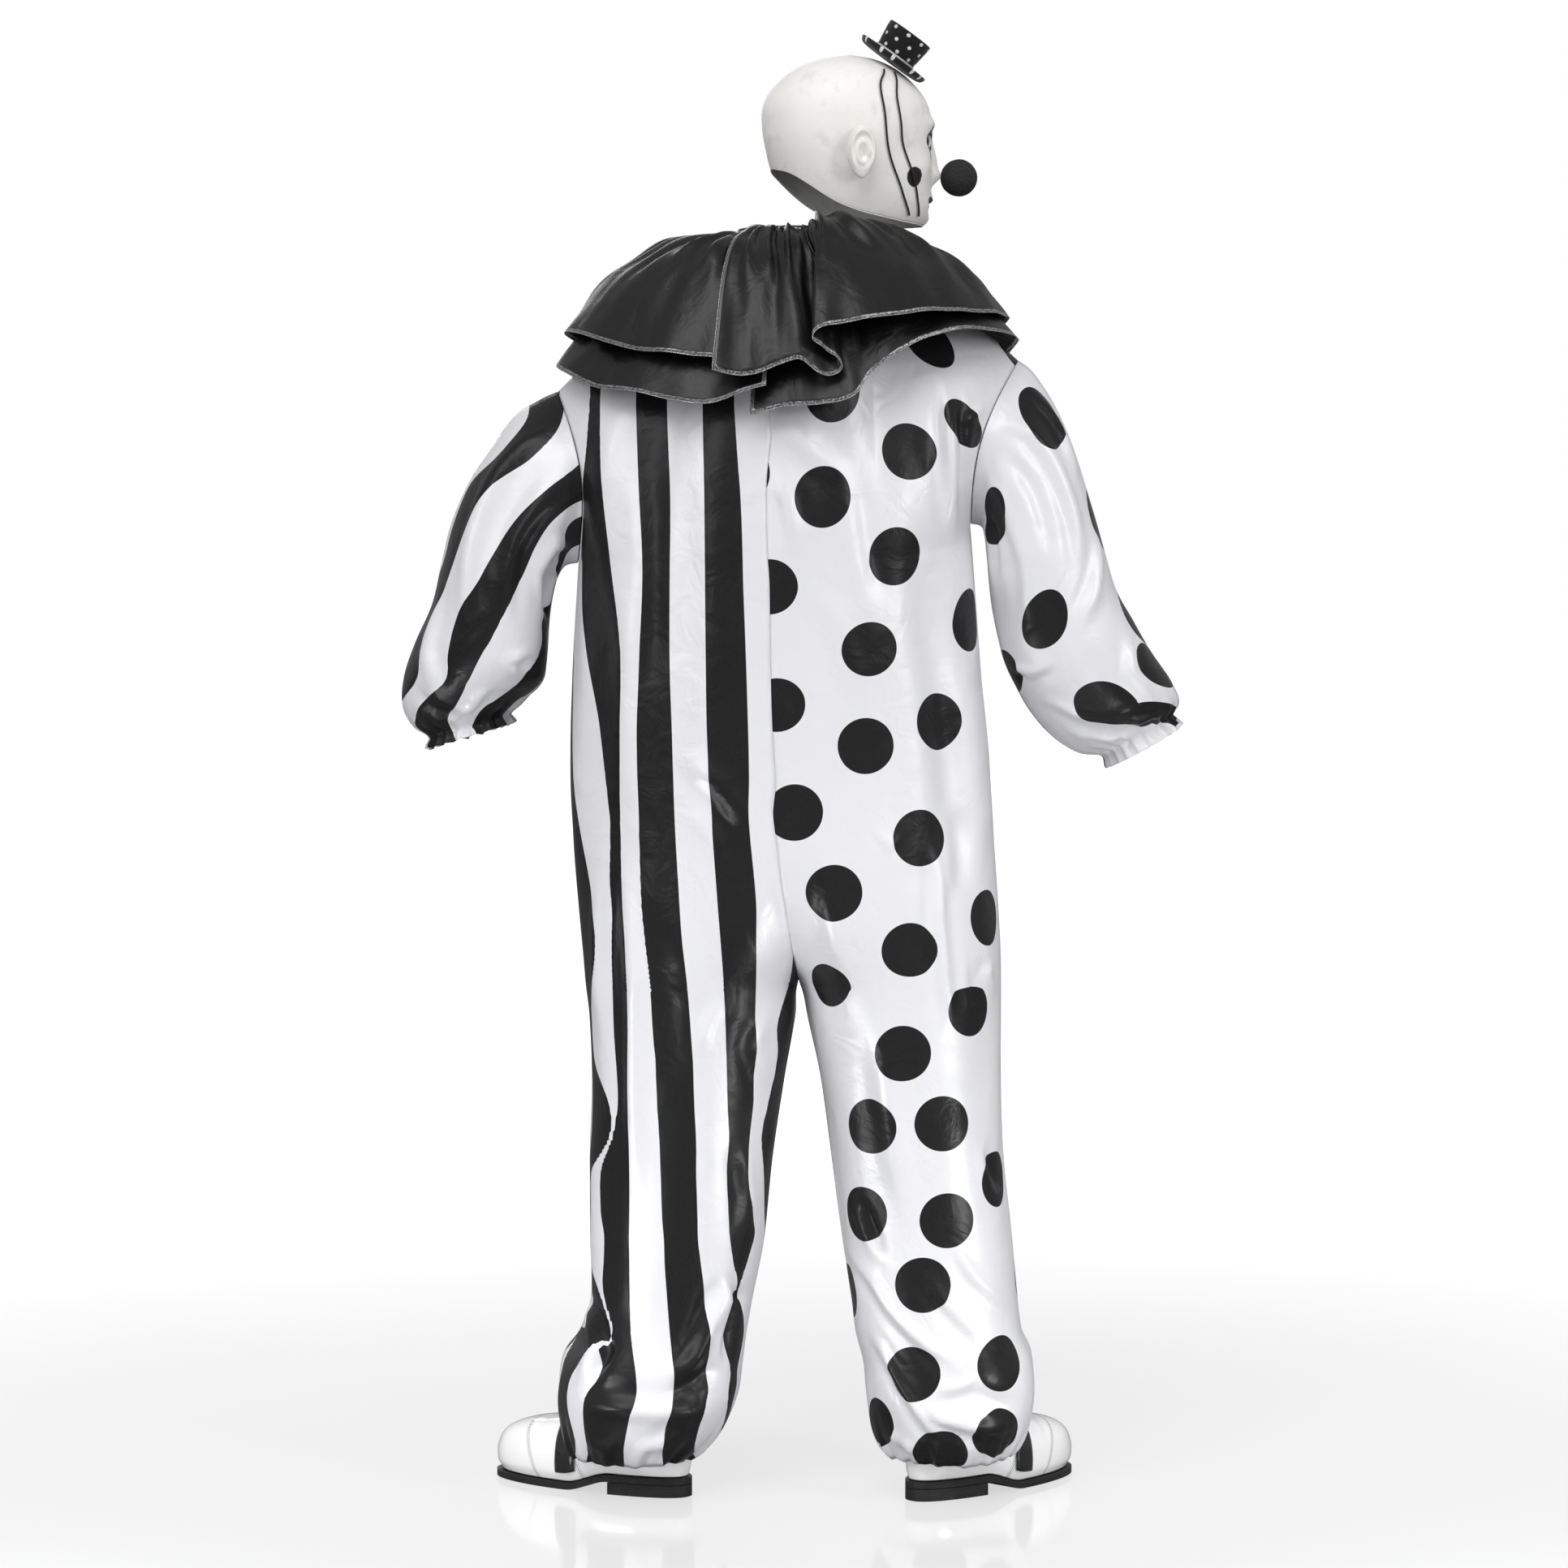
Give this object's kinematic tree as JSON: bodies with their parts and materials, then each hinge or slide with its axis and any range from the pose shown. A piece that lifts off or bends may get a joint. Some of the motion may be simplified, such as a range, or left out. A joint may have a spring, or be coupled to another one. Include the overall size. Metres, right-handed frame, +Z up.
{
  "type": "clown costume",
  "caption": "Worn clown costume: a loose jumpsuit half striped and half dotted, a two-tier ruffled collar, a full-head mask with a little top hat, and round-toed shoes.",
  "frame": {"origin": "centre of the neck opening, 1.62 m above the soles, where the wearer's neck and shoulders carry the costume", "axes": "+Z up; the costume's front faces -Y and its back +Y; the striped half is on the wearer's left, +X, and the dotted half on the right, -X"},
  "size_m": [1.005, 0.4567, 1.8905],
  "materials": {
    "striped_satin": "satin, black and white stripes",
    "dotted_satin": "satin, white with black dots",
    "black_satin": "satin with a silver overlocked edge",
    "white_patent": "patent, high gloss",
    "black_rubber": "matt",
    "white_latex": "smooth latex, satin",
    "black_foam": "matt foam",
    "black_felt": "felt with white dots",
    "white_ribbon": "ribbon",
    "black_elastic": "cord elastic"
  },
  "bodies": {
    "root": {"collar_band": "black_satin", "collar_lower": "black_satin", "collar_upper": "black_satin", "dotted_back": "dotted_satin", "dotted_front": "dotted_satin", "dotted_sleeve": "dotted_satin", "hat_brim": "black_felt", "hat_crown": "black_felt", "hat_ribbon": "white_ribbon", "hat_strand_back_left": "black_elastic", "hat_strand_back_right": "black_elastic", "hat_strand_front_left": "black_elastic", "hat_strand_front_right": "black_elastic", "mask_ear_left": "white_latex", "mask_ear_right": "white_latex", "mask_head": "white_latex", "mask_nose": "black_foam", "shoe_left_heel": "black_rubber", "shoe_left_sole": "black_rubber", "shoe_left_strap": "black_rubber", "shoe_left_upper": "white_patent", "shoe_right_heel": "black_rubber", "shoe_right_sole": "black_rubber", "shoe_right_strap": "black_rubber", "shoe_right_upper": "white_patent", "striped_back": "striped_satin", "striped_front": "striped_satin", "striped_sleeve": "striped_satin"}
  },
  "joints": []
}
